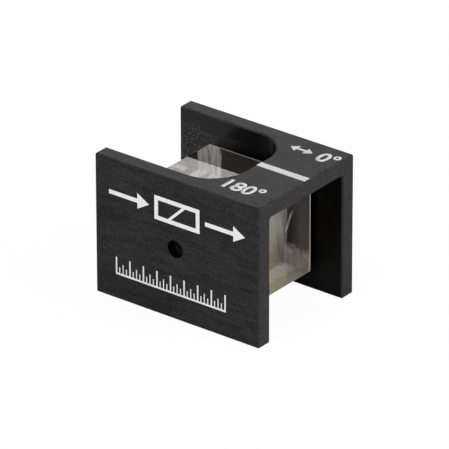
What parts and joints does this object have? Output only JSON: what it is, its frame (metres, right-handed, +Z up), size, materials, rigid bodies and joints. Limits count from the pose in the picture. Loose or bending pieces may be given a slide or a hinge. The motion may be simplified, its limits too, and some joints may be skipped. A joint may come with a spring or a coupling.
{
  "type": "glan-laser polarizer",
  "caption": "Air-spaced prism polarizer: a bevelled crystal block cut at an angle and bonded in a black anodised channel, with rounded windows above and below for the rejected beam.",
  "frame": {"origin": "centre of the housing's bottom face, the face that it rests on", "axes": "+X along the beam from the entry end to the exit end, +Y towards the rear side plate, +Z up"},
  "size_m": [0.012, 0.009, 0.009],
  "materials": {
    "black_anodised": "matte black anodised, finely milled",
    "crystal": "polished clear birefringent crystal",
    "spacer_foil": "thin metal foil",
    "adhesive": "cured dark brown adhesive"
  },
  "bodies": {
    "root": {"housing": "black_anodised", "entry_prism": "crystal", "exit_prism": "crystal", "front_spacer": "spacer_foil", "rear_spacer": "spacer_foil", "front_bond": "adhesive", "rear_bond": "adhesive"}
  },
  "joints": []
}
